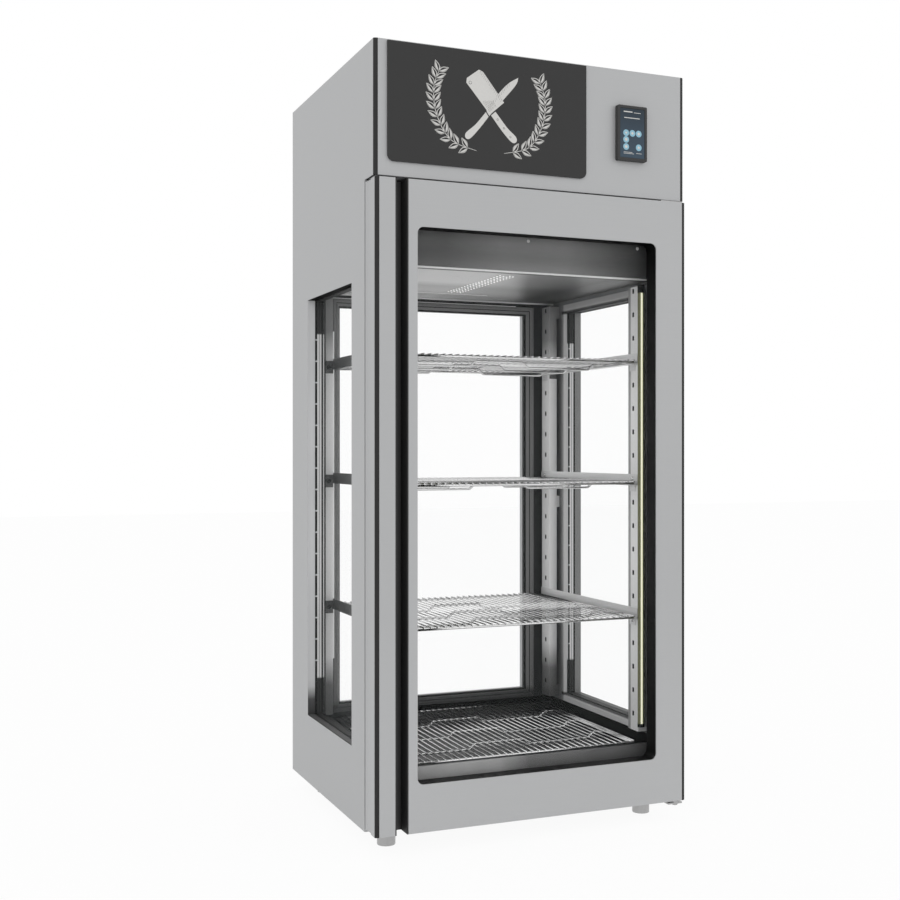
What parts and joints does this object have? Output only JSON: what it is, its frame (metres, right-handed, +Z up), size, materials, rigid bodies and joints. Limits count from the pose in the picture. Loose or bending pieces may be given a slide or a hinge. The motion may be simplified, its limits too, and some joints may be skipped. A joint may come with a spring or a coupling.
{
  "type": "dry aging cabinet",
  "caption": "Tall steel dry aging cabinet with a glass door, glazed sides and back, wire shelves, a touch display and a cooling unit on top",
  "frame": {"origin": "on the floor, under the middle of the cabinet's bounding box", "axes": "+Z up, -Y toward the door, +X to the hinge side, right as seen from the front"},
  "size_m": [0.75, 0.6452, 1.7],
  "materials": {
    "steel": "fine satin grinding, even grey",
    "liner": "bright rolled sheet with soft reflections",
    "dark_trim": "satin black extrusion",
    "graphic": "dark panel with a pale printed design",
    "glass": "clear insulated pane",
    "chrome_wire": "bright plated wire",
    "gasket": "matt grey",
    "lamp": "pale yellow diffuser",
    "screen": "dark blue-grey display glass",
    "black_paint": "semi-matt black",
    "fins": "mill finish",
    "foot_steel": "turned, satin"
  },
  "bodies": {
    "cabinet": {"left_side_wall": "steel", "right_side_wall": "steel", "back_wall": "steel", "left_window_glass": "glass", "right_window_glass": "glass", "back_window_glass": "glass", "left_window_frame": "dark_trim", "right_window_frame": "dark_trim", "back_window_frame": "dark_trim", "base_pan": "liner", "chamber_ceiling": "liner", "front_header_beam": "liner", "duct_panel": "liner", "top_cover": "steel", "header_fascia": "steel", "header_edge_left": "dark_trim", "header_edge_right": "dark_trim", "graphic_panel": "graphic", "display_housing": "black_paint", "display_screen": "screen", "top_hinge": "foot_steel", "bottom_hinge": "foot_steel", "front_left_upright": "liner", "front_right_upright": "liner", "back_left_upright": "liner", "back_right_upright": "liner", "left_lamp_bar": "lamp", "right_lamp_bar": "lamp", "shelf_2_runner_left": "liner", "shelf_2_runner_right": "liner", "shelf_3_runner_left": "liner", "shelf_3_runner_right": "liner", "shelf_4_runner_left": "liner", "shelf_4_runner_right": "liner", "front_left_foot": "foot_steel", "front_right_foot": "foot_steel", "back_left_foot": "foot_steel", "back_right_foot": "foot_steel", "compressor": "black_paint", "condenser": "fins", "condenser_fan_shroud": "black_paint", "control_box": "liner", "mains_inlet": "black_paint", "evaporator": "fins", "evaporator_motor_left": "black_paint", "evaporator_motor_right": "black_paint"},
    "door": {"door_shell": "steel", "door_edge_left": "dark_trim", "door_edge_right": "dark_trim", "door_grip_lining": "black_paint", "door_window_frame": "black_paint", "door_glass": "glass", "door_gasket": "gasket"},
    "lower_shelf": {"shelf_1": "chrome_wire"},
    "second_shelf": {"shelf_2": "chrome_wire"},
    "third_shelf": {"shelf_3": "chrome_wire"},
    "top_shelf": {"shelf_4": "chrome_wire"},
    "condenser_blades": {"condenser_fan": "black_paint"},
    "left_evaporator_blades": {"evaporator_fan_left": "dark_trim"},
    "right_evaporator_blades": {"evaporator_fan_right": "dark_trim"}
  },
  "joints": [
    {"name": "door_hinge", "type": "hinge", "parent": "cabinet", "child": "door", "pos_m": [0.357, -0.30265, 0.7288], "axis": [0, 0, 1], "range_deg": [0, 110]},
    {"name": "shelf_1_slide", "type": "slide", "parent": "cabinet", "child": "lower_shelf", "axis": [0, -1, 0], "range_m": [0, 0.011]},
    {"name": "shelf_2_slide", "type": "slide", "parent": "cabinet", "child": "second_shelf", "axis": [0, -1, 0], "range_m": [0, 0.011]},
    {"name": "shelf_3_slide", "type": "slide", "parent": "cabinet", "child": "third_shelf", "axis": [0, -1, 0], "range_m": [0, 0.011]},
    {"name": "shelf_4_slide", "type": "slide", "parent": "cabinet", "child": "top_shelf", "axis": [0, -1, 0], "range_m": [0, 0.011]},
    {"name": "condenser_fan_spin", "type": "hinge", "parent": "cabinet", "child": "condenser_blades", "pos_m": [0.12, -0.11235, 1.5373], "axis": [0, 1, 0], "continuous": true},
    {"name": "left_evaporator_fan_spin", "type": "hinge", "parent": "cabinet", "child": "left_evaporator_blades", "pos_m": [-0.075, -0.04365, 1.286], "axis": [0, 0, 1], "continuous": true},
    {"name": "right_evaporator_fan_spin", "type": "hinge", "parent": "cabinet", "child": "right_evaporator_blades", "pos_m": [0.075, -0.04365, 1.286], "axis": [0, 0, 1], "continuous": true}
  ]
}
